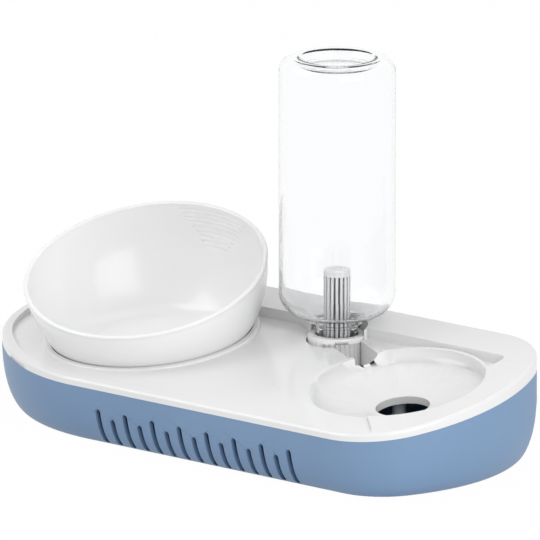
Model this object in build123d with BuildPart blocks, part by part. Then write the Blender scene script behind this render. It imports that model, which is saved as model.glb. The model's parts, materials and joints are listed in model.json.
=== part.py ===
from build123d import *
import math
import os

# Pet food and water station: a wedge-shaped housing whose top slopes towards the front, a tilted
# food bowl on the left, a dished water basin on the right, and an upright bottle that feeds it.
# Millimetres. X runs along the station, +Y to its back, +Z up. The origin is on the floor under
# the middle of the housing.

# Housing outline
housing_length = 362.0
housing_width = 162.0
left_nose_radius = 62.0
left_corner_radius = 125.0
right_nose_radius = 125.0
right_corner_radius = 48.5

# Heights and slopes
foot_rise = 1.2
seam_height = 48.8
seam_slope = 8.5
rim_height_middle = 6.8
rim_slope = 10.3
shell_bottom_inset = 15.8
shell_curve_height = 42.0
housing_headroom = 30.0

# Walls and clearances
shell_wall = 2.4
tray_wall = 2.4
lip_clearance = 0.9
lip_thickness = 1.8
lip_depth = 4.0
running_clearance = 0.5
seat_gap = 0.05

# Tray floor and its steps
rim_width = 6.0
middle_floor_rise = 2.85
middle_floor_slope = 8.03
back_deck_edge = 53.0
right_deck_edge = 149.0
right_deck_front = 35.0
right_deck_inner = 112.0
recess_round = 6.0
rim_round = 2.0

# Food bowl and its seat
bowl_centre_x = -83.0
bowl_centre_v = 1.2
bowl_ball_height = 45.2
bowl_ball_radius = 73.0
bowl_wall = 2.2
bowl_own_tilt = 13.2
bowl_turn = 26.0
bowl_rim_drop = 1.4
bowl_lip_width = 2.8
bowl_lip_thickness = 2.2
bowl_foot_depth = 7.0
bowl_floor_thickness = 3.0
bowl_inner_round = 14.0
seat_floor_depth = 9.0
collar_radius = 65.0
collar_rise = 4.4
grip_ring_radius = 46.0
grip_ring_width = 4.0
groove_count = 9
groove_radius = 0.55
groove_pitch = 2.7
groove_first_drop = 4.0
groove_depth = 0.4
groove_azimuth = 94.0
groove_half_angle = 21.0
groove_narrowing = 1.7

# Water basin and its drain hole
basin_x = 111.5
basin_v = 0.5
basin_floor_radius = 50.0
basin_edge_depth = 2.4
basin_wall_radius = 54.3
basin_wall_top = 7.5
basin_collar_radius = 56.6
basin_crest_x = 110.5
basin_crest_v = -4.0
basin_crest_rise = 4.2
basin_crest_slope = 11.2
drain_radius = 16.1
drain_depth = 10.5
drain_lip = 1.0
drain_tube_wall = 2.0
drain_tube_depth = 4.5
rib_y = 39.0
rib_start_x = 66.0
rib_end_x = 130.0
rib_bottom = 30.0
rib_thickness = 2.0

# Bottle socket and the channel to the basin
bottle_x = 23.0
bottle_y = 46.0
cap_radius = 17.5
cap_top = 60.5
cap_height = 19.0
socket_clearance = 0.8
socket_gap_below = 5.0
channel_width = 17.5
push_post_radius = 2.2
rest_rib_count = 5
rest_rib_width = 2.0
rest_rib_reach = 9.0
channel_mouth_x = 66.6
channel_mouth_y = 24.1
channel_mouth_floor = 45.0
deck_jog_x = 7.0
deck_jog_y = 42.0
deck_jog_start = -11.0
deck_jog_end = 41.7

# Cap, valve and strainer
cap_bore = 13.9
cap_mouth = 13.2
cap_collar_height = 3.0
cap_end_wall = 2.5
cap_outlet_radius = 4.0
knurl_count = 36
knurl_depth = 0.7
gasket_thickness = 1.2
gasket_inner_radius = 8.8
gasket_outer_radius = 13.5
strainer_radius = 8.0
strainer_wall = 1.8
strainer_top = 99.9
strainer_slots = 18
strainer_slot_width = 1.25
strainer_slot_low = 52.0
strainer_slot_high = 96.0
strainer_shelf_height = 57.0
strainer_shelf_thickness = 1.4
strainer_pin_spacing = 2.75
filter_radius = 5.9
strainer_flange_radius = 12.3
strainer_flange_thickness = 1.2
strainer_lid_thickness = 1.6
plunger_disc_radius = 5.6
plunger_disc_thickness = 1.6
plunger_stem_radius = 1.6
plunger_lift = 2.6
plunger_tip = 40.0
valve_seal_radius = 5.4
valve_seal_thickness = 0.8
spring_turns = 6
spring_wire = 0.7
spring_radius = 4.2

# Bottle
bottle_radius = 34.6
bottle_wall = 1.8
bottle_top = 228.0
bottle_top_round = 8.0
bottle_dimple_depth = 4.0
bottle_shoulder_round = 16.0
bottle_shoulder_low = 68.5
bottle_shoulder_edge = 74.8
bottle_dimple_radius = 22.5
bottle_dimple_floor_radius = 19.0
neck_radius = 12.4
neck_wall = 1.8
neck_rib_count = 2
neck_rib_start = 48.8
neck_rib_pitch = 3.4
neck_rib_thickness = 1.4
neck_rib_depth = 1.1
neck_ring_radius = 14.8
neck_ring_height = 65.2
neck_ring_thickness = 1.6

# Vents in the front of the shell
vent_count = 15
vent_pitch = 10.6
vent_first_x = -55.3
vent_width = 3.8
vent_long_top = 24.7
vent_short_top = 19.9
vent_bottom = 2.8

# Feet and screws
foot_radius = 9.0
foot_recess = 1.2
foot_clearance = 0.25
foot_places = [(-112, -34), (-112, 34), (128, -40), (128, 40)]
screw_places = [(-142, -26), (-142, 26), (6, -54), (-30, 56), (89, 25), (150, -30), (152, 30)]
post_radius = 4.6
post_top = 17.0
screw_hole_radius = 1.8
screw_head_radius = 3.0
screw_head_thickness = 2.0
screw_recess_radius = 3.4
screw_recess_top = 10.0
screw_shank_radius = 1.25
screw_length = 14.0
pilot_radius = 1.3
boss_radius = 4.2

half_length = housing_length / 2
half_width = housing_width / 2
shell_bottom = foot_rise

seam_plane = Plane(
    origin=(0, 0, seam_height),
    x_dir=(1, 0, 0),
    z_dir=(0, -math.sin(math.radians(seam_slope)), math.cos(math.radians(seam_slope))),
)
rim_plane = Plane(
    origin=(0, 0, seam_height + rim_height_middle),
    x_dir=(1, 0, 0),
    z_dir=(0, -math.sin(math.radians(rim_slope)), math.cos(math.radians(rim_slope))),
)
middle_floor_plane = Plane(
    origin=(0, 0, seam_height + middle_floor_rise),
    x_dir=(1, 0, 0),
    z_dir=(0, -math.sin(math.radians(middle_floor_slope)), math.cos(math.radians(middle_floor_slope))),
)
bowl_centre = seam_plane.from_local_coords((bowl_centre_x, bowl_centre_v, bowl_ball_height))


def seam_at(y):
    """Height of the sloped seam plane at a place across the housing."""
    return seam_height + y * math.tan(math.radians(seam_slope))


def arc_between(centre, radius, start, end):
    """The short arc about a centre from one point to another."""
    a = Vector(*start) - Vector(*centre)
    b = Vector(*end) - Vector(*centre)
    middle = Vector(*centre) + (a.normalized() + b.normalized()).normalized() * radius
    return ThreePointArc(start, (middle.X, middle.Y), end)


def outline_face(inset):
    """The housing's plan outline, drawn a given distance inside the real one."""
    b = half_width - inset
    left_nose = (-half_length + left_nose_radius, 0)
    reach = left_corner_radius - left_nose_radius
    across = left_corner_radius - half_width
    left_corner_x = left_nose[0] + math.sqrt(reach**2 - across**2)
    right_nose = (half_length - right_nose_radius, 0)
    reach_right = right_nose_radius - right_corner_radius
    across_right = half_width - right_corner_radius
    right_corner_x = right_nose[0] + math.sqrt(reach_right**2 - across_right**2)
    nose_left = left_nose_radius - inset
    nose_right = right_nose_radius - inset
    left_unit = Vector(left_nose[0] - left_corner_x, -across, 0).normalized()
    left_joint = (left_nose[0] + nose_left * left_unit.X, nose_left * left_unit.Y)
    right_unit = Vector(right_corner_x - right_nose[0], -across_right, 0).normalized()
    right_joint = (right_nose[0] + nose_right * right_unit.X, nose_right * right_unit.Y)
    with BuildSketch() as face:
        with BuildLine():
            Line((left_corner_x, -b), (right_corner_x, -b))
            arc_between((right_corner_x, -across_right), right_corner_radius - inset,
                        (right_corner_x, -b), right_joint)
            ThreePointArc(right_joint, (right_nose[0] + nose_right, 0), (right_joint[0], -right_joint[1]))
            arc_between((right_corner_x, across_right), right_corner_radius - inset,
                        (right_joint[0], -right_joint[1]), (right_corner_x, b))
            Line((right_corner_x, b), (left_corner_x, b))
            arc_between((left_corner_x, -across), left_corner_radius - inset,
                        (left_corner_x, b), (left_joint[0], -left_joint[1]))
            ThreePointArc((left_joint[0], -left_joint[1]), (left_nose[0] - nose_left, 0), left_joint)
            arc_between((left_corner_x, across), left_corner_radius - inset,
                        left_joint, (left_corner_x, -b))
        make_face()
    return face.sketch


def curve_inset(height):
    """How far the shell has drawn in at a height above its own bottom."""
    share = max(0.0, 1 - height / shell_curve_height)
    return shell_bottom_inset * (1 - math.sqrt(1 - share**2.2))


section_heights = [0.0, 1.5, 4.0, 8.5, 15.0, 24.0, 33.0, shell_curve_height]


def shell_form(wall):
    """The housing's outer form, or its inside when a wall is given."""
    with BuildPart() as form:
        for height in section_heights:
            with BuildSketch(Plane.XY.offset(shell_bottom + wall + height)):
                add(outline_face(curve_inset(height) + wall))
        loft()
        with BuildSketch(Plane.XY.offset(shell_bottom + wall + shell_curve_height)):
            add(outline_face(wall))
        extrude(amount=housing_headroom)
    return form.part


# Lower shell
with BuildPart() as base_shell:
    add(shell_form(0))
    add(shell_form(shell_wall), mode=Mode.SUBTRACT)
    split(bisect_by=seam_plane.offset(-seat_gap), keep=Keep.BOTTOM)
    with BuildSketch(Plane.XY.offset(shell_bottom + shell_wall / 2)):
        with Locations(*screw_places):
            Circle(post_radius)
    extrude(amount=post_top - shell_bottom - shell_wall / 2)
    with BuildSketch(Plane.XY.offset(shell_bottom)):
        with Locations(*foot_places):
            Circle(foot_radius + foot_clearance)
    extrude(amount=foot_recess, mode=Mode.SUBTRACT)
    with BuildSketch(Plane.XY.offset(shell_bottom)):
        with Locations(*screw_places):
            Circle(screw_recess_radius)
    extrude(amount=screw_recess_top - shell_bottom, mode=Mode.SUBTRACT)
    with BuildSketch(Plane.XY.offset(shell_bottom)):
        with Locations(*screw_places):
            Circle(screw_hole_radius)
    extrude(amount=post_top, mode=Mode.SUBTRACT)
    with BuildSketch(Plane.XZ.offset(half_width + 5)):
        for i in range(vent_count):
            top = vent_long_top if i % 2 == 0 else vent_short_top
            slot_length = top - vent_bottom
            with Locations((vent_first_x + i * vent_pitch, vent_bottom + slot_length / 2)):
                SlotOverall(slot_length, vent_width, rotation=90)
    extrude(amount=-25, mode=Mode.SUBTRACT)
base_shell.part.label = "base_shell"


def outline_prism(inset, low, high):
    """A straight prism on the housing outline."""
    with BuildPart() as prism:
        with BuildSketch(Plane.XY.offset(low)):
            add(outline_face(inset))
        extrude(amount=high - low)
    return prism.part


def bowl_seat_space(grow):
    """The hollow that the round underside of the bowl sits in."""
    with BuildPart() as space:
        with Locations(bowl_centre):
            Sphere(bowl_ball_radius + running_clearance + grow)
        split(bisect_by=seam_plane.offset(-seat_floor_depth - grow), keep=Keep.TOP)
    return space.part


def basin_space(grow):
    """The dished water basin with its steep outer wall."""
    edge_plane = seam_plane.offset(-basin_edge_depth - grow)
    with BuildPart() as space:
        with BuildSketch(seam_plane.offset(-drain_depth - grow)):
            with Locations((basin_x, basin_v)):
                Circle(drain_radius + drain_lip)
        with BuildSketch(edge_plane):
            with Locations((basin_x, basin_v)):
                Circle(basin_floor_radius + grow)
        loft(ruled=True)
        with BuildSketch(edge_plane):
            with Locations((basin_x, basin_v)):
                Circle(basin_floor_radius + grow)
        with BuildSketch(seam_plane.offset(basin_wall_top)):
            with Locations((basin_crest_x, basin_crest_v)):
                Circle(basin_wall_radius + grow)
        loft(ruled=True)
        with BuildSketch(seam_plane.offset(basin_wall_top)):
            with Locations((basin_crest_x, basin_crest_v)):
                Circle(basin_wall_radius + grow)
        extrude(amount=20)
    return space.part


channel_run = Vector(channel_mouth_x - bottle_x, channel_mouth_y - bottle_y, 0)
channel_angle = math.degrees(math.atan2(channel_run.Y, channel_run.X))
cap_bottom = cap_top - cap_height
socket_floor = cap_bottom - socket_gap_below
channel_foot = cap_bottom - 1.0


def socket_space(grow):
    """The round well under the bottle cap and the sloping channel that leads to the basin."""
    along = channel_run.normalized()
    side_plane = Plane(
        origin=(bottle_x, bottle_y, 0), x_dir=(along.X, along.Y, 0), z_dir=(along.Y, -along.X, 0)
    )
    half = channel_width / 2 + grow
    start = (cap_radius + socket_clearance) * 0.8
    end = channel_run.length
    with BuildPart() as space:
        with BuildSketch(Plane.XY.offset(socket_floor - grow)):
            with Locations((bottle_x, bottle_y)):
                Circle(cap_radius + socket_clearance + grow)
        extrude(amount=60)
        with BuildSketch(side_plane.offset(-half)):
            with BuildLine():
                Polyline(
                    (start, channel_foot - grow),
                    (end, channel_mouth_floor - grow),
                    (end, 90),
                    (start, 90),
                    close=True,
                )
            make_face()
        extrude(amount=2 * half)
    return space.part


recess_points = [
    (-half_length - 10, -half_width - 10), (right_deck_inner + 60, -half_width - 10),
    (right_deck_inner, -right_deck_front), (right_deck_inner, right_deck_front), (right_deck_edge, right_deck_front),
    (right_deck_edge, back_deck_edge), (deck_jog_end, back_deck_edge), (deck_jog_end - 3, deck_jog_y),
    (deck_jog_x, deck_jog_y), (deck_jog_start, back_deck_edge), (-half_length - 10, back_deck_edge),
]


def recess_space(grow):
    """The sunken floor in front of the back deck, inside the rim."""
    with BuildPart() as pocket:
        with BuildSketch(Plane.XY.offset(seam_height - 30)):
            add(outline_face(rim_width - grow))
            with BuildSketch(mode=Mode.PRIVATE) as area:
                with BuildLine():
                    Polyline(*recess_points, close=True)
                make_face()
                ends = area.vertices().filter_by(lambda v: abs(v.X - right_deck_edge) < 0.01)
                fillet(ends, recess_round)
                if grow > 0:
                    offset(amount=grow, kind=Kind.INTERSECTION)
            add(area.sketch, mode=Mode.INTERSECT)
        extrude(amount=90)
        split(bisect_by=middle_floor_plane.offset(-grow), keep=Keep.TOP)
    return pocket.part


def use_spaces(grow):
    """The bowl seat, the basin and the bottle socket, each a wall larger for the underside."""
    return [bowl_seat_space(grow), basin_space(grow), socket_space(grow)]


with BuildPart() as bowl_collar:
    with BuildSketch(seam_plane.offset(middle_floor_rise - tray_wall)):
        with Locations((bowl_centre_x, bowl_centre_v)):
            Circle(collar_radius)
    extrude(amount=collar_rise - middle_floor_rise + tray_wall)
    fillet(bowl_collar.edges().group_by(Axis(bowl_centre, seam_plane.z_dir))[-1], 1.2)

crest_plane = Plane(
    origin=(0, 0, seam_height + basin_crest_rise),
    x_dir=(1, 0, 0),
    z_dir=(0, -math.sin(math.radians(basin_crest_slope)), math.cos(math.radians(basin_crest_slope))),
)
with BuildPart() as basin_collar:
    with BuildSketch(seam_plane.offset(middle_floor_rise - tray_wall)):
        with Locations((basin_crest_x, basin_crest_v)):
            Circle(basin_collar_radius)
    extrude(amount=20)
    split(bisect_by=crest_plane, keep=Keep.BOTTOM)

with BuildPart() as underside:
    add(outline_prism(tray_wall, seam_height - 30, seam_height + 40))
    split(bisect_by=rim_plane.offset(-tray_wall), keep=Keep.BOTTOM)

lip_outer = shell_wall + lip_clearance
with BuildPart() as lip:
    add(outline_prism(lip_outer, seam_height - 30, seam_height + 40))
    add(outline_prism(lip_outer + lip_thickness, seam_height - 31, seam_height + 41), mode=Mode.SUBTRACT)
    split(bisect_by=seam_plane.offset(-lip_depth), keep=Keep.TOP)
    split(bisect_by=seam_plane.offset(2.0), keep=Keep.BOTTOM)

with BuildPart() as lip_root:
    add(outline_prism(1.0, seam_height - 30, seam_height + 40))
    add(outline_prism(lip_outer + lip_thickness, seam_height - 31, seam_height + 41), mode=Mode.SUBTRACT)
    split(bisect_by=seam_plane, keep=Keep.TOP)
    split(bisect_by=seam_plane.offset(2.0), keep=Keep.BOTTOM)

with BuildPart() as tray_bosses:
    with BuildSketch(Plane.XY.offset(post_top + seat_gap)):
        with Locations(*screw_places):
            Circle(boss_radius)
    extrude(amount=60)
    with BuildSketch(Plane.XY.offset(rib_bottom)):
        with Locations(((rib_start_x + rib_end_x) / 2, rib_y)):
            Rectangle(rib_end_x - rib_start_x, rib_thickness)
    extrude(amount=60)
    split(bisect_by=rim_plane.offset(-0.6), keep=Keep.BOTTOM)

with BuildPart() as socket_rests:
    with Locations((bottle_x, bottle_y, socket_floor - 0.5)):
        Cylinder(push_post_radius, plunger_tip - seat_gap - socket_floor + 0.5,
                 align=(Align.CENTER, Align.CENTER, Align.MIN))
        for i in range(rest_rib_count):
            turn = channel_angle + 60 * (i + 1)
            out = cap_radius + socket_clearance + 0.5 - rest_rib_reach / 2
            with Locations(Location((out * math.cos(math.radians(turn)), out * math.sin(math.radians(turn)), 0),
                                    (0, 0, turn))):
                Box(rest_rib_reach, rest_rib_width, cap_bottom - seat_gap - socket_floor + 0.5,
                    align=(Align.CENTER, Align.CENTER, Align.MIN))

# Upper tray
with BuildPart() as top_tray:
    add(outline_prism(0, seam_height - 30, seam_height + 40))
    split(bisect_by=rim_plane, keep=Keep.BOTTOM)
    fillet(top_tray.edges().filter_by(lambda e: abs((e @ 0.5 - rim_plane.origin).dot(rim_plane.z_dir)) < 0.01),
           rim_round)
    split(bisect_by=seam_plane, keep=Keep.TOP)
    add(underside.part, mode=Mode.SUBTRACT)
    for form in [recess_space(tray_wall)] + use_spaces(tray_wall):
        with BuildPart(mode=Mode.PRIVATE) as clipped:
            add(form)
            split(bisect_by=rim_plane.offset(-0.6), keep=Keep.BOTTOM)
        add(clipped.part)
    with BuildSketch(seam_plane.offset(-drain_depth - drain_tube_depth)):
        with Locations((basin_x, basin_v)):
            Circle(drain_radius + drain_tube_wall)
    extrude(amount=drain_tube_depth)
    add(lip.part)
    add(lip_root.part)
    add(tray_bosses.part)
    add(recess_space(0), mode=Mode.SUBTRACT)
    add(bowl_collar.part)
    add(basin_collar.part)
    for form in use_spaces(0):
        add(form, mode=Mode.SUBTRACT)
    with BuildSketch(seam_plane.offset(-drain_depth - drain_tube_depth - 1)):
        with Locations((basin_x, basin_v)):
            Circle(drain_radius)
    extrude(amount=drain_tube_depth + 3, mode=Mode.SUBTRACT)
    with BuildSketch(Plane.XY.offset(post_top - 1)):
        with Locations(*screw_places):
            Circle(pilot_radius)
    extrude(amount=screw_length - (post_top - screw_recess_top) + 2, mode=Mode.SUBTRACT)
    add(socket_rests.part)
top_tray.part.label = "top_tray"


def rubber_foot(place, name):
    """One round rubber foot, seated in its recess."""
    with BuildPart() as foot:
        with BuildSketch():
            with Locations(place):
                Circle(foot_radius)
        extrude(amount=foot_rise + foot_recess - seat_gap)
        fillet(foot.edges().group_by(Axis.Z)[0], 0.6)
    foot.part.label = name
    return foot.part


# Screws, all alike
with BuildPart() as base_screws:
    head_bottom = screw_recess_top - seat_gap - screw_head_thickness
    with BuildSketch(Plane.XY.offset(head_bottom)):
        with Locations(*screw_places):
            Circle(screw_head_radius)
    extrude(amount=screw_head_thickness)
    with BuildSketch(Plane.XY.offset(head_bottom + screw_head_thickness)):
        with Locations(*screw_places):
            Circle(screw_shank_radius)
    extrude(amount=screw_length)
    with BuildSketch(Plane.XY.offset(head_bottom)):
        for place in screw_places:
            with Locations(place):
                Rectangle(3.4, 0.7)
                Rectangle(0.7, 3.4)
    extrude(amount=1.1, mode=Mode.SUBTRACT)
base_screws.part.label = "base_screws"

# Food bowl, a ball cut by a tilted rim
bowl_tilt = math.radians(bowl_own_tilt)
bowl_heading = math.radians(bowl_turn)
rim_local = Vector(math.sin(bowl_tilt) * math.sin(bowl_heading),
                   -math.sin(bowl_tilt) * math.cos(bowl_heading), math.cos(bowl_tilt))
bowl_rim_normal = (seam_plane.x_dir * rim_local.X + seam_plane.y_dir * rim_local.Y
                   + seam_plane.z_dir * rim_local.Z)
groove_aim = Vector(math.cos(math.radians(groove_azimuth)), math.sin(math.radians(groove_azimuth)), 0)
bowl_rim_x = groove_aim - bowl_rim_normal * groove_aim.dot(bowl_rim_normal)
bowl_rim_plane = Plane(origin=bowl_centre - bowl_rim_normal * bowl_rim_drop,
                       x_dir=bowl_rim_x, z_dir=bowl_rim_normal)
bowl_inner = bowl_ball_radius - bowl_wall

with BuildPart() as bowl_room:
    with Locations(bowl_centre):
        Sphere(bowl_inner)
    split(bisect_by=seam_plane.offset(-bowl_foot_depth + bowl_floor_thickness), keep=Keep.TOP)
    fillet(bowl_room.edges().group_by(Axis(bowl_centre, seam_plane.z_dir))[0], bowl_inner_round)

with BuildPart() as food_bowl:
    with Locations(bowl_centre):
        Sphere(bowl_ball_radius)
    split(bisect_by=seam_plane.offset(-bowl_foot_depth), keep=Keep.TOP)
    fillet(food_bowl.edges().group_by(Axis(bowl_centre, seam_plane.z_dir))[0], 2.0)
    split(bisect_by=bowl_rim_plane.offset(-0.8), keep=Keep.BOTTOM)
    with BuildPart(mode=Mode.PRIVATE) as bead:
        with BuildSketch(bowl_rim_plane.offset(-bowl_lip_thickness)):
            Circle(bowl_inner - 0.1 + bowl_lip_width)
            Circle(bowl_inner - 0.1, mode=Mode.SUBTRACT)
        extrude(amount=bowl_lip_thickness)
        fillet(bead.edges(), bowl_lip_thickness * 0.42)
    add(bowl_room.part, mode=Mode.SUBTRACT)
    add(bead.part)
    for i in range(groove_count):
        drop = groove_first_drop + i * groove_pitch
        reach = math.sqrt(bowl_inner**2 - (bowl_rim_drop + drop)**2) - groove_radius + groove_depth
        half = groove_half_angle - i * groove_narrowing
        with BuildPart(mode=Mode.PRIVATE) as groove:
            with BuildLine(bowl_rim_plane.offset(-drop)) as groove_line:
                CenterArc((0, 0), reach, -half, 2 * half)
            with BuildSketch(Plane(origin=groove_line.line @ 0, z_dir=groove_line.line % 0)):
                Circle(groove_radius)
            sweep(path=groove_line.line)
        add(groove.part, mode=Mode.SUBTRACT)
food_bowl.part.label = "food_bowl"

with BuildPart() as bowl_seat_ring:
    with BuildSketch(seam_plane.offset(-seat_floor_depth + seat_gap)):
        with Locations((bowl_centre_x, bowl_centre_v)):
            Circle(grip_ring_radius + grip_ring_width / 2)
            Circle(grip_ring_radius - grip_ring_width / 2, mode=Mode.SUBTRACT)
    extrude(amount=seat_floor_depth - bowl_foot_depth - 2 * seat_gap)
bowl_seat_ring.part.label = "bowl_seat_ring"

# Bottle
neck_lip = cap_bottom + cap_end_wall + gasket_thickness + strainer_flange_thickness + 4 * seat_gap
shoulder_slope = (bottle_shoulder_edge - bottle_shoulder_low) / (bottle_radius - neck_radius)
bottle_place = Location((bottle_x, bottle_y, 0))


def bottle_form(wall):
    """The bottle as a solid of revolution, or the room inside it when a wall is given."""
    side = bottle_radius - wall
    throat = neck_radius - wall
    lift = wall * math.sqrt(1 + shoulder_slope**2) - wall * shoulder_slope
    points = [
        (0, neck_lip - wall), (throat, neck_lip - wall), (throat, bottle_shoulder_low + lift),
        (side, bottle_shoulder_edge + lift), (side, bottle_top - wall),
        (bottle_dimple_radius + wall * 0.6, bottle_top - wall),
        (bottle_dimple_floor_radius + wall * 0.6, bottle_top - bottle_dimple_depth - wall),
        (0, bottle_top - bottle_dimple_depth - wall),
    ]
    rounds = {2: 3.0 + wall, 3: bottle_shoulder_round - wall, 4: bottle_top_round - wall, 5: 1.2, 6: 2.0}
    with BuildPart() as form:
        with BuildSketch(Plane.XZ) as half:
            with BuildLine():
                Polyline(*points, close=True)
            make_face()
            for index, radius in rounds.items():
                spot = Vector(points[index][0], points[index][1], 0)
                fillet(half.vertices().sort_by_distance(spot)[0], radius)
        revolve(axis=Axis.Z)
    return form.part


bottle_outside = bottle_form(0)
bottle_inside = bottle_form(bottle_wall)

with BuildPart() as water_bottle:
    with Locations(bottle_place):
        add(bottle_outside)
        with Locations((0, 0, neck_ring_height)):
            Cylinder(neck_ring_radius, neck_ring_thickness, align=(Align.CENTER, Align.CENTER, Align.MIN))
        for i in range(neck_rib_count):
            with Locations((0, 0, neck_rib_start + i * neck_rib_pitch)):
                Cylinder(neck_radius + neck_rib_depth, neck_rib_thickness,
                         align=(Align.CENTER, Align.CENTER, Align.MIN))
        add(bottle_inside, mode=Mode.SUBTRACT)
water_bottle.part.label = "water_bottle"


def tube(outer, inner, low, high):
    """A straight tube or disc on the bottle's axis."""
    with BuildPart() as ring:
        with BuildSketch(Plane.XY.offset(low)):
            with Locations((bottle_x, bottle_y)):
                Circle(outer)
                if inner > 0:
                    Circle(inner, mode=Mode.SUBTRACT)
        extrude(amount=high - low)
    return ring.part


# Cap with a knurled skirt
with BuildPart() as bottle_cap:
    with BuildSketch(Plane.XY.offset(cap_bottom)):
        with Locations((bottle_x, bottle_y)):
            Circle(cap_radius - knurl_depth)
            with PolarLocations(cap_radius - knurl_depth - 0.3, knurl_count):
                Rectangle(2 * (knurl_depth + 0.3) - 0.4, 1.3)
    extrude(amount=cap_height - cap_collar_height)
    add(tube(cap_radius, 0, cap_top - cap_collar_height, cap_top))
    fillet(bottle_cap.edges().group_by(Axis.Z)[-1], 0.9)
    add(tube(cap_bore, 0, cap_bottom + cap_end_wall, cap_top - cap_collar_height + 0.5), mode=Mode.SUBTRACT)
    add(tube(cap_mouth, 0, cap_top - cap_collar_height, cap_top + 1), mode=Mode.SUBTRACT)
    add(tube(cap_outlet_radius, 0, cap_bottom - 1, cap_bottom + cap_end_wall + 1), mode=Mode.SUBTRACT)
bottle_cap.part.label = "bottle_cap"

gasket_low = cap_bottom + cap_end_wall + seat_gap
with BuildPart() as cap_gasket:
    add(tube(gasket_outer_radius, gasket_inner_radius, gasket_low, gasket_low + gasket_thickness))
cap_gasket.part.label = "cap_gasket"

# Strainer
flange_low = gasket_low + gasket_thickness + seat_gap
strainer_inner = strainer_radius - strainer_wall
with BuildPart() as strainer_cage:
    add(tube(strainer_radius, strainer_inner, flange_low, strainer_top - strainer_lid_thickness))
    add(tube(strainer_radius, 0, strainer_top - strainer_lid_thickness, strainer_top))
    fillet(strainer_cage.edges().group_by(Axis.Z)[-1], 1.4)
    with BuildSketch(Plane.XY.offset(strainer_slot_low)):
        with Locations((bottle_x, bottle_y)):
            with PolarLocations(strainer_radius - strainer_wall / 2, strainer_slots):
                Rectangle(2 * strainer_wall, strainer_slot_width)
    extrude(amount=strainer_slot_high - strainer_slot_low, mode=Mode.SUBTRACT)
    add(tube(strainer_flange_radius, strainer_inner, flange_low, flange_low + strainer_flange_thickness))
    add(tube(strainer_inner + 0.5, 2.6, strainer_shelf_height, strainer_shelf_height + strainer_shelf_thickness))
    add(tube(4.8, 0, strainer_top - 0.5, strainer_top + 1), mode=Mode.SUBTRACT)
    with BuildSketch(Plane.XY.offset(strainer_top - 1.2)):
        with Locations((bottle_x - strainer_pin_spacing, bottle_y), (bottle_x + strainer_pin_spacing, bottle_y)):
            Circle(0.6)
    extrude(amount=2, mode=Mode.SUBTRACT)
strainer_cage.part.label = "strainer_cage"

with BuildPart() as filter_core:
    add(tube(filter_radius, 0, strainer_shelf_height + strainer_shelf_thickness + seat_gap,
             strainer_top - strainer_lid_thickness - seat_gap))
filter_core.part.label = "filter_core"

# Valve
seal_low = cap_bottom + cap_end_wall + plunger_lift
disc_low = seal_low + valve_seal_thickness + 0.02
with BuildPart() as valve_plunger:
    add(tube(plunger_disc_radius, 0, disc_low, disc_low + plunger_disc_thickness))
    add(tube(plunger_stem_radius, 0, plunger_tip, disc_low + 0.5))
valve_plunger.part.label = "valve_plunger"

with BuildPart() as valve_seal:
    add(tube(valve_seal_radius, plunger_stem_radius + seat_gap, seal_low, seal_low + valve_seal_thickness))
valve_seal.part.label = "valve_seal"

spring_low = disc_low + plunger_disc_thickness + seat_gap + spring_wire / 2
spring_high = strainer_shelf_height - seat_gap - spring_wire / 2
with BuildPart() as valve_spring:
    with BuildLine() as spring_line:
        Helix((spring_high - spring_low) / spring_turns, spring_high - spring_low, spring_radius,
              center=(bottle_x, bottle_y, spring_low))
    with BuildSketch(Plane(origin=spring_line.line @ 0, z_dir=spring_line.line % 0)):
        Circle(spring_wire / 2)
    sweep(path=spring_line.line)
valve_spring.part.label = "valve_spring"

os.makedirs("parts", exist_ok=True)
export_step(base_shell.part, "parts/base_shell.step")
export_step(top_tray.part, "parts/top_tray.step")
foot_names = ["rubber_foot_lf", "rubber_foot_lb", "rubber_foot_rf", "rubber_foot_rb"]
for i in range(4):
    export_step(rubber_foot(foot_places[i], foot_names[i]), "parts/" + foot_names[i] + ".step")
export_step(base_screws.part, "parts/base_screws.step")
export_step(food_bowl.part, "parts/food_bowl.step")
export_step(bowl_seat_ring.part, "parts/bowl_seat_ring.step")
export_step(water_bottle.part, "parts/water_bottle.step")
export_step(bottle_cap.part, "parts/bottle_cap.step")
export_step(cap_gasket.part, "parts/cap_gasket.step")
export_step(strainer_cage.part, "parts/strainer_cage.step")
export_step(filter_core.part, "parts/filter_core.step")
export_step(valve_plunger.part, "parts/valve_plunger.step")
export_step(valve_seal.part, "parts/valve_seal.step")
export_step(valve_spring.part, "parts/valve_spring.step")
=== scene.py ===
import json
import math

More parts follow.
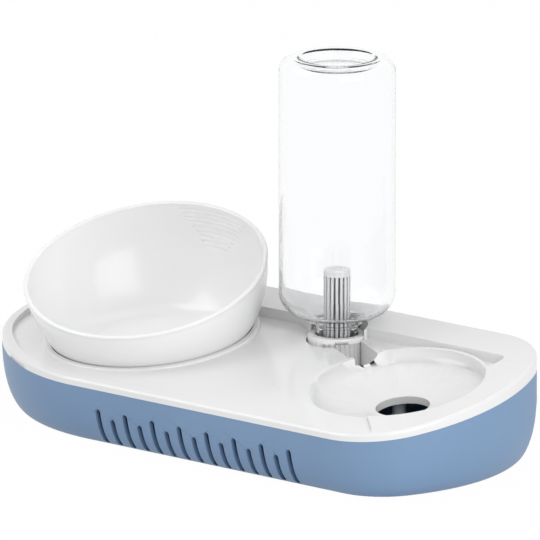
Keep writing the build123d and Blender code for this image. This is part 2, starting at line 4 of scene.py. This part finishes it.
import bpy
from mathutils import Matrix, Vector

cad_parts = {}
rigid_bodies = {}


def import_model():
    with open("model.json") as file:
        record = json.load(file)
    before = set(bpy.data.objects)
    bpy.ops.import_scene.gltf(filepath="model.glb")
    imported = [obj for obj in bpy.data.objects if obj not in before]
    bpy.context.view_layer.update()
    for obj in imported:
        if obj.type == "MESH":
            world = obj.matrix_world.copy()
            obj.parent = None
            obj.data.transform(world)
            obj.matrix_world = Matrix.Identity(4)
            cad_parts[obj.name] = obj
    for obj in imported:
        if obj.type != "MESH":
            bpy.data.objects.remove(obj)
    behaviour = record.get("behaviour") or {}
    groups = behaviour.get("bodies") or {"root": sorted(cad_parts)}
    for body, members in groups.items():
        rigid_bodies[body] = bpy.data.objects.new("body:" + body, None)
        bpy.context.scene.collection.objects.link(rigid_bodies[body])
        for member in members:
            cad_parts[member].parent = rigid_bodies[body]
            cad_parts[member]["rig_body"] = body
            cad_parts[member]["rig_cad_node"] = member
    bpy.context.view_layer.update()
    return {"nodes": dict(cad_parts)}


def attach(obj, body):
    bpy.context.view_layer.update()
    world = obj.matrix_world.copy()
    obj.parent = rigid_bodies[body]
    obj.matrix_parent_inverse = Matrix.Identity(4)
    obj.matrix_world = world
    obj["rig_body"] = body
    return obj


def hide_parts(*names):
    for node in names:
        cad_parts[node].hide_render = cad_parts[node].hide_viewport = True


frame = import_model()
nodes = frame["nodes"]


# Lower housing: a thick injection-moulded shell in soft blue plastic with a fine satin texture. It
# is one moulding with a row of upright slots cut through its front wall.
merge_distance = 0.000005
flat_angle = 0.3
even_weight = 100
housing_crease = 32.0
housing_blue_light = (0.178, 0.288, 0.455, 1)
housing_blue_dark = (0.158, 0.260, 0.418, 1)
housing_roughness = 0.46
cloud_scale = 9.0
cloud_detail = 3.0
cloud_ends = (0.35, 0.65)
gloss_spread = (0.9, 1.12)
grain_detail = 4.0
grain_depth = 0.0002
plastic_ior = 1.5
coat_roughness = 0.06


def smooth_copy(node, name, body, crease):
    """A merged copy of a node with smooth shading that breaks at sharp corners."""
    bpy.ops.object.select_all(action="DESELECT")
    piece = nodes[node].copy()
    piece.data = nodes[node].data.copy()
    piece.name = name
    piece.data.name = name
    piece.parent = None
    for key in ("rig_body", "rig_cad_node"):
        if key in piece:
            del piece[key]
    bpy.context.scene.collection.objects.link(piece)
    piece.select_set(True)
    bpy.context.view_layer.objects.active = piece
    bpy.ops.object.mode_set(mode="EDIT")
    bpy.ops.mesh.select_all(action="SELECT")
    bpy.ops.mesh.remove_doubles(threshold=merge_distance)
    bpy.ops.mesh.dissolve_limited(angle_limit=math.radians(flat_angle))
    bpy.ops.object.mode_set(mode="OBJECT")
    bpy.ops.object.shade_smooth_by_angle(angle=math.radians(crease))
    even = piece.modifiers.new("even_shading", "WEIGHTED_NORMAL")
    even.weight = even_weight
    even.keep_sharp = True
    bpy.ops.object.modifier_apply(modifier=even.name)
    piece.data.materials.clear()
    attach(piece, body)
    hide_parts(node)
    return piece


def moulded_plastic(name, light, dark, roughness, grain, grain_scale, coat=0.0):
    """Moulded plastic: two close tones in soft clouds, a little uneven gloss and a fine grain."""
    material = bpy.data.materials.new(name)
    material.use_nodes = True
    tree = material.node_tree
    shader = tree.nodes["Principled BSDF"]
    place = tree.nodes.new("ShaderNodeTexCoord")
    clouds = tree.nodes.new("ShaderNodeTexNoise")
    clouds.inputs["Scale"].default_value = cloud_scale
    clouds.inputs["Detail"].default_value = cloud_detail
    tree.links.new(place.outputs["Object"], clouds.inputs["Vector"])
    tones = tree.nodes.new("ShaderNodeValToRGB")
    for stop, position, colour in zip(tones.color_ramp.elements, cloud_ends, (dark, light)):
        stop.position = position
        stop.color = colour
    tree.links.new(clouds.outputs["Fac"], tones.inputs["Fac"])
    tree.links.new(tones.outputs["Color"], shader.inputs["Base Color"])
    gloss = tree.nodes.new("ShaderNodeMapRange")
    gloss.inputs["To Min"].default_value = roughness * gloss_spread[0]
    gloss.inputs["To Max"].default_value = roughness * gloss_spread[1]
    tree.links.new(clouds.outputs["Fac"], gloss.inputs["Value"])
    tree.links.new(gloss.outputs["Result"], shader.inputs["Roughness"])
    texture = tree.nodes.new("ShaderNodeTexNoise")
    texture.inputs["Scale"].default_value = grain_scale
    texture.inputs["Detail"].default_value = grain_detail
    tree.links.new(place.outputs["Object"], texture.inputs["Vector"])
    bump = tree.nodes.new("ShaderNodeBump")
    bump.inputs["Strength"].default_value = grain
    bump.inputs["Distance"].default_value = grain_depth
    tree.links.new(texture.outputs["Fac"], bump.inputs["Height"])
    tree.links.new(bump.outputs["Normal"], shader.inputs["Normal"])
    shader.inputs["IOR"].default_value = plastic_ior
    shader.inputs["Coat Weight"].default_value = coat
    shader.inputs["Coat Roughness"].default_value = coat_roughness
    return material


housing = smooth_copy("base_shell", "housing", "base", housing_crease)
housing.data.materials.append(
    moulded_plastic(
        "satin_blue_plastic", housing_blue_light, housing_blue_dark, housing_roughness,
        grain=0.12, grain_scale=900,
    )
)


# Upper tray: polished white plastic dropped into the housing, with the bowl seat, the basin, the
# channel and the bottle socket moulded in.
plain_crease = 30.0
tray_white_light = (0.775, 0.775, 0.775, 1)
tray_white_dark = (0.75, 0.75, 0.75, 1)
tray_roughness = 0.19
tray = smooth_copy("top_tray", "tray", "base", plain_crease)
tray.data.materials.append(
    moulded_plastic(
        "polished_white_plastic", tray_white_light, tray_white_dark, tray_roughness,
        grain=0.02, grain_scale=120, coat=0.25,
    )
)


# Food bowl: a thin white glossy bowl with a turned-out lip and shallow grooves inside its high
# side. It stands tilted in the tray's seat.
round_crease = 38.0
bowl_white_light = (0.86, 0.86, 0.86, 1)
bowl_white_dark = (0.84, 0.84, 0.845, 1)
bowl_roughness = 0.24
bowl = smooth_copy("food_bowl", "bowl", "bowl", round_crease)
bowl.data.materials.append(
    moulded_plastic(
        "bowl_white_plastic", bowl_white_light, bowl_white_dark, bowl_roughness,
        grain=0.02, grain_scale=90, coat=0.2,
    )
)


# Anti-slip ring: a pale silicone ring that lies loose in the seat, under the bowl. It has a dull,
# slightly grained surface.
ring_light = (0.62, 0.65, 0.68, 1)
ring_dark = (0.58, 0.61, 0.64, 1)
ring_roughness = 0.6
ring = smooth_copy("bowl_seat_ring", "anti_slip_ring", "base", plain_crease)
ring.data.materials.append(
    moulded_plastic("pale_silicone", ring_light, ring_dark, ring_roughness, grain=0.2, grain_scale=700)
)


# Bottle: a clear blown bottle standing on its neck. The wall is thin, clear and very smooth, with
# slight ripples left by blowing.
bottle_tint = (0.985, 0.99, 0.995, 1)
bottle_ior = 1.38
bottle_gloss = (0.01, 0.04)
ripple_scale = 22.0
ripple_detail = 1.0
ripple_strength = 0.05
ripple_depth = 0.0004
bottle = smooth_copy("water_bottle", "bottle", "bottle", round_crease)
clear = bpy.data.materials.new("clear_bottle_plastic")
clear.use_nodes = True
clear_tree = clear.node_tree
clear_shader = clear_tree.nodes["Principled BSDF"]
clear_shader.inputs["Base Color"].default_value = bottle_tint
clear_shader.inputs["Transmission Weight"].default_value = 1.0
clear_shader.inputs["IOR"].default_value = bottle_ior
clear_place = clear_tree.nodes.new("ShaderNodeTexCoord")
clear_ripple = clear_tree.nodes.new("ShaderNodeTexNoise")
clear_ripple.inputs["Scale"].default_value = ripple_scale
clear_ripple.inputs["Detail"].default_value = ripple_detail
clear_tree.links.new(clear_place.outputs["Object"], clear_ripple.inputs["Vector"])
clear_gloss = clear_tree.nodes.new("ShaderNodeMapRange")
clear_gloss.inputs["To Min"].default_value = bottle_gloss[0]
clear_gloss.inputs["To Max"].default_value = bottle_gloss[1]
clear_tree.links.new(clear_ripple.outputs["Fac"], clear_gloss.inputs["Value"])
clear_tree.links.new(clear_gloss.outputs["Result"], clear_shader.inputs["Roughness"])
clear_bump = clear_tree.nodes.new("ShaderNodeBump")
clear_bump.inputs["Strength"].default_value = ripple_strength
clear_bump.inputs["Distance"].default_value = ripple_depth
clear_tree.links.new(clear_ripple.outputs["Fac"], clear_bump.inputs["Height"])
clear_tree.links.new(clear_bump.outputs["Normal"], clear_shader.inputs["Normal"])
bottle.data.materials.append(clear)


# Cap: white plastic with a knurled skirt and a smooth collar. It closes the bottle's neck and
# lifts out of the socket with the bottle.
cap_white_light = (0.86, 0.86, 0.86, 1)
cap_white_dark = (0.84, 0.84, 0.845, 1)
cap_roughness = 0.28
cap = smooth_copy("bottle_cap", "cap", "bottle", plain_crease)
cap.data.materials.append(
    moulded_plastic(
        "cap_white_plastic", cap_white_light, cap_white_dark, cap_roughness,
        grain=0.04, grain_scale=300,
    )
)


# Strainer: a slotted white tube with a flange that the neck clamps, with a foam core inside it.
# Both stand in the neck and reach up into the bottle.
strainer_white_light = (0.80, 0.80, 0.81, 1)
strainer_white_dark = (0.76, 0.76, 0.77, 1)
strainer_roughness = 0.34
strainer = smooth_copy("strainer_cage", "strainer", "bottle", plain_crease)
strainer.data.materials.append(
    moulded_plastic(
        "strainer_white_plastic", strainer_white_light, strainer_white_dark, strainer_roughness,
        grain=0.05, grain_scale=400,
    )
)
foam_light = (0.13, 0.13, 0.13, 1)
foam_dark = (0.06, 0.06, 0.065, 1)
foam_roughness = 0.9
core = smooth_copy("filter_core", "foam_core", "bottle", plain_crease)
core.data.materials.append(
    moulded_plastic("grey_foam", foam_light, foam_dark, foam_roughness, grain=1.0, grain_scale=1800)
)


# Sealing ring and valve: a silicone ring under the neck, and a small spring-loaded plunger with
# its own seal that a post in the socket pushes open.
seal_light = (0.66, 0.67, 0.67, 1)
seal_dark = (0.62, 0.63, 0.63, 1)
seal_roughness = 0.5
valve_white_light = (0.74, 0.74, 0.75, 1)
valve_white_dark = (0.70, 0.70, 0.71, 1)
valve_roughness = 0.35
seal_silicone = moulded_plastic(
    "clear_silicone", seal_light, seal_dark, seal_roughness, grain=0.1, grain_scale=500
)
neck_seal = smooth_copy("cap_gasket", "neck_seal", "bottle", plain_crease)
neck_seal.data.materials.append(seal_silicone)
plunger = smooth_copy("valve_plunger", "plunger", "valve", plain_crease)
plunger.data.materials.append(
    moulded_plastic(
        "valve_white_plastic", valve_white_light, valve_white_dark, valve_roughness,
        grain=0.05, grain_scale=400,
    )
)
plunger_seal = smooth_copy("valve_seal", "plunger_seal", "valve", plain_crease)
plunger_seal.data.materials.append(seal_silicone)


# Metalwork: the housing's cross-head screws and the valve's coil spring, both in bright steel with
# a faint uneven polish.
spring_crease = 40.0
spring_tone = (0.62, 0.62, 0.63)
spring_roughness = 0.25
screw_tone = (0.55, 0.55, 0.56)
screw_roughness = 0.32
steel_dark_share = 0.86


def bright_steel(name, tone, roughness):
    """Turned steel with a faint uneven polish."""
    dark = tuple(steel_dark_share * value for value in tone)
    material = moulded_plastic(
        name, tone + (1,), dark + (1,), roughness, grain=0.1, grain_scale=600
    )
    material.node_tree.nodes["Principled BSDF"].inputs["Metallic"].default_value = 1.0
    return material


spring = smooth_copy("valve_spring", "spring", "bottle", spring_crease)
spring.data.materials.append(bright_steel("spring_wire", spring_tone, spring_roughness))
screws = smooth_copy("base_screws", "screws", "base", plain_crease)
screws.data.materials.append(bright_steel("screw_steel_finish", screw_tone, screw_roughness))


# Feet: four dark rubber discs pressed into shallow recesses in the housing's underside. They share
# one dull rubber.
rubber_light = (0.045, 0.047, 0.05, 1)
rubber_dark = (0.03, 0.031, 0.034, 1)
rubber_roughness = 0.75
foot_rubber = moulded_plastic(
    "dark_foot_rubber", rubber_light, rubber_dark, rubber_roughness, grain=0.4, grain_scale=900
)
for corner in ("lf", "lb", "rf", "rb"):
    foot = smooth_copy("rubber_foot_" + corner, "foot_" + corner, "base", plain_crease)
    foot.data.materials.append(foot_rubber)


# Studio: a pale floor that shows white to the camera and keeps the object's shadow, with large
# soft lamps.
white = (1, 1, 1, 1)
world_strength = 0.6
floor_size = 6.0
floor_grey = (0.8, 0.8, 0.8, 1)
floor_roughness = 0.9
floor_white_share = 0.985


def white_where_seen(tree, plain_output, white_kind):
    """Mix of a plain shader with pure white where a camera, glass or mirror ray arrives."""
    path = tree.nodes.new("ShaderNodeLightPath")
    seen = path.outputs["Is Camera Ray"]
    for ray in ("Is Transmission Ray", "Is Glossy Ray"):
        either = tree.nodes.new("ShaderNodeMath")
        either.operation = "MAXIMUM"
        tree.links.new(seen, either.inputs[0])
        tree.links.new(path.outputs[ray], either.inputs[1])
        seen = either.outputs["Value"]
    glow = tree.nodes.new(white_kind)
    glow.inputs["Color"].default_value = white
    glow.inputs["Strength"].default_value = 1.0
    mix = tree.nodes.new("ShaderNodeMixShader")
    tree.links.new(seen, mix.inputs["Fac"])
    tree.links.new(plain_output, mix.inputs[1])
    tree.links.new(glow.outputs[0], mix.inputs[2])
    return mix.outputs["Shader"]


world = bpy.data.worlds.new("studio")
bpy.context.scene.world = world
world.use_nodes = True
world_tree = world.node_tree
world_back = world_tree.nodes["Background"]
world_back.inputs["Color"].default_value = white
world_back.inputs["Strength"].default_value = world_strength
world_out = world_tree.nodes["World Output"]
world_glow = white_where_seen(world_tree, world_back.outputs["Background"], "ShaderNodeBackground")
world_tree.links.new(world_glow, world_out.inputs["Surface"])

bpy.ops.object.select_all(action="DESELECT")
bpy.ops.mesh.primitive_plane_add(size=floor_size, location=(0, 0, 0))
floor = bpy.context.object
floor.name = "floor"
floor_paint = bpy.data.materials.new("pale_floor")
floor_paint.use_nodes = True
floor_tree = floor_paint.node_tree
floor_shader = floor_tree.nodes["Principled BSDF"]
floor_shader.inputs["Base Color"].default_value = floor_grey
floor_shader.inputs["Roughness"].default_value = floor_roughness
floor_out = floor_tree.nodes["Material Output"]
floor_glow = white_where_seen(floor_tree, floor_shader.outputs["BSDF"], "ShaderNodeEmission")
floor_shade = floor_tree.nodes.new("ShaderNodeMixShader")
floor_shade.inputs["Fac"].default_value = floor_white_share
floor_tree.links.new(floor_shader.outputs["BSDF"], floor_shade.inputs[1])
floor_tree.links.new(floor_glow, floor_shade.inputs[2])
floor_tree.links.new(floor_shade.outputs["Shader"], floor_out.inputs["Surface"])
floor.data.materials.append(floor_paint)


def soft_lamp(name, place, aim, size, power):
    """A square softbox that faces a point on the object."""
    bpy.ops.object.light_add(type="AREA", location=place)
    lamp = bpy.context.object
    lamp.name = name
    lamp.data.shape = "SQUARE"
    lamp.data.size = size
    lamp.data.energy = power
    lamp.rotation_euler = (Vector(aim) - Vector(place)).to_track_quat("-Z", "Y").to_euler()


soft_lamp("key_lamp", place=(-0.9, -0.9, 1.3), aim=(0, 0, 0.08), size=1.1, power=10.0)
soft_lamp("fill_lamp", place=(1.5, -0.5, 0.6), aim=(0, 0, 0.05), size=1.4, power=14.5)
soft_lamp("top_lamp", place=(0.1, 0.4, 1.6), aim=(0, 0, 0.05), size=1.2, power=3.0)


# Camera: a long lens well back, at the photograph's viewing angle. Its aim is the point at the
# middle of the picture.
camera_aim = Vector((-0.0097, 0.0232, 0.0978))
camera_forward = Vector((-0.6369, 0.7353, -0.2317)).normalized()
camera_back = 8.0
camera_sensor = 36.0
camera_reach = 100.0
pixels_per_metre = 1690.0
frame_pixels = 540.0
camera_data = bpy.data.cameras.new("camera")
camera = bpy.data.objects.new("camera", camera_data)
bpy.context.scene.collection.objects.link(camera)
camera_data.sensor_width = camera_sensor
camera_data.lens = pixels_per_metre * camera_back / frame_pixels * camera_sensor
camera_data.clip_end = camera_reach
camera.location = camera_aim - camera_forward * camera_back
camera.rotation_euler = camera_forward.to_track_quat("-Z", "Y").to_euler()
bpy.context.scene.camera = camera
bpy.context.scene.view_settings.view_transform = "Standard"
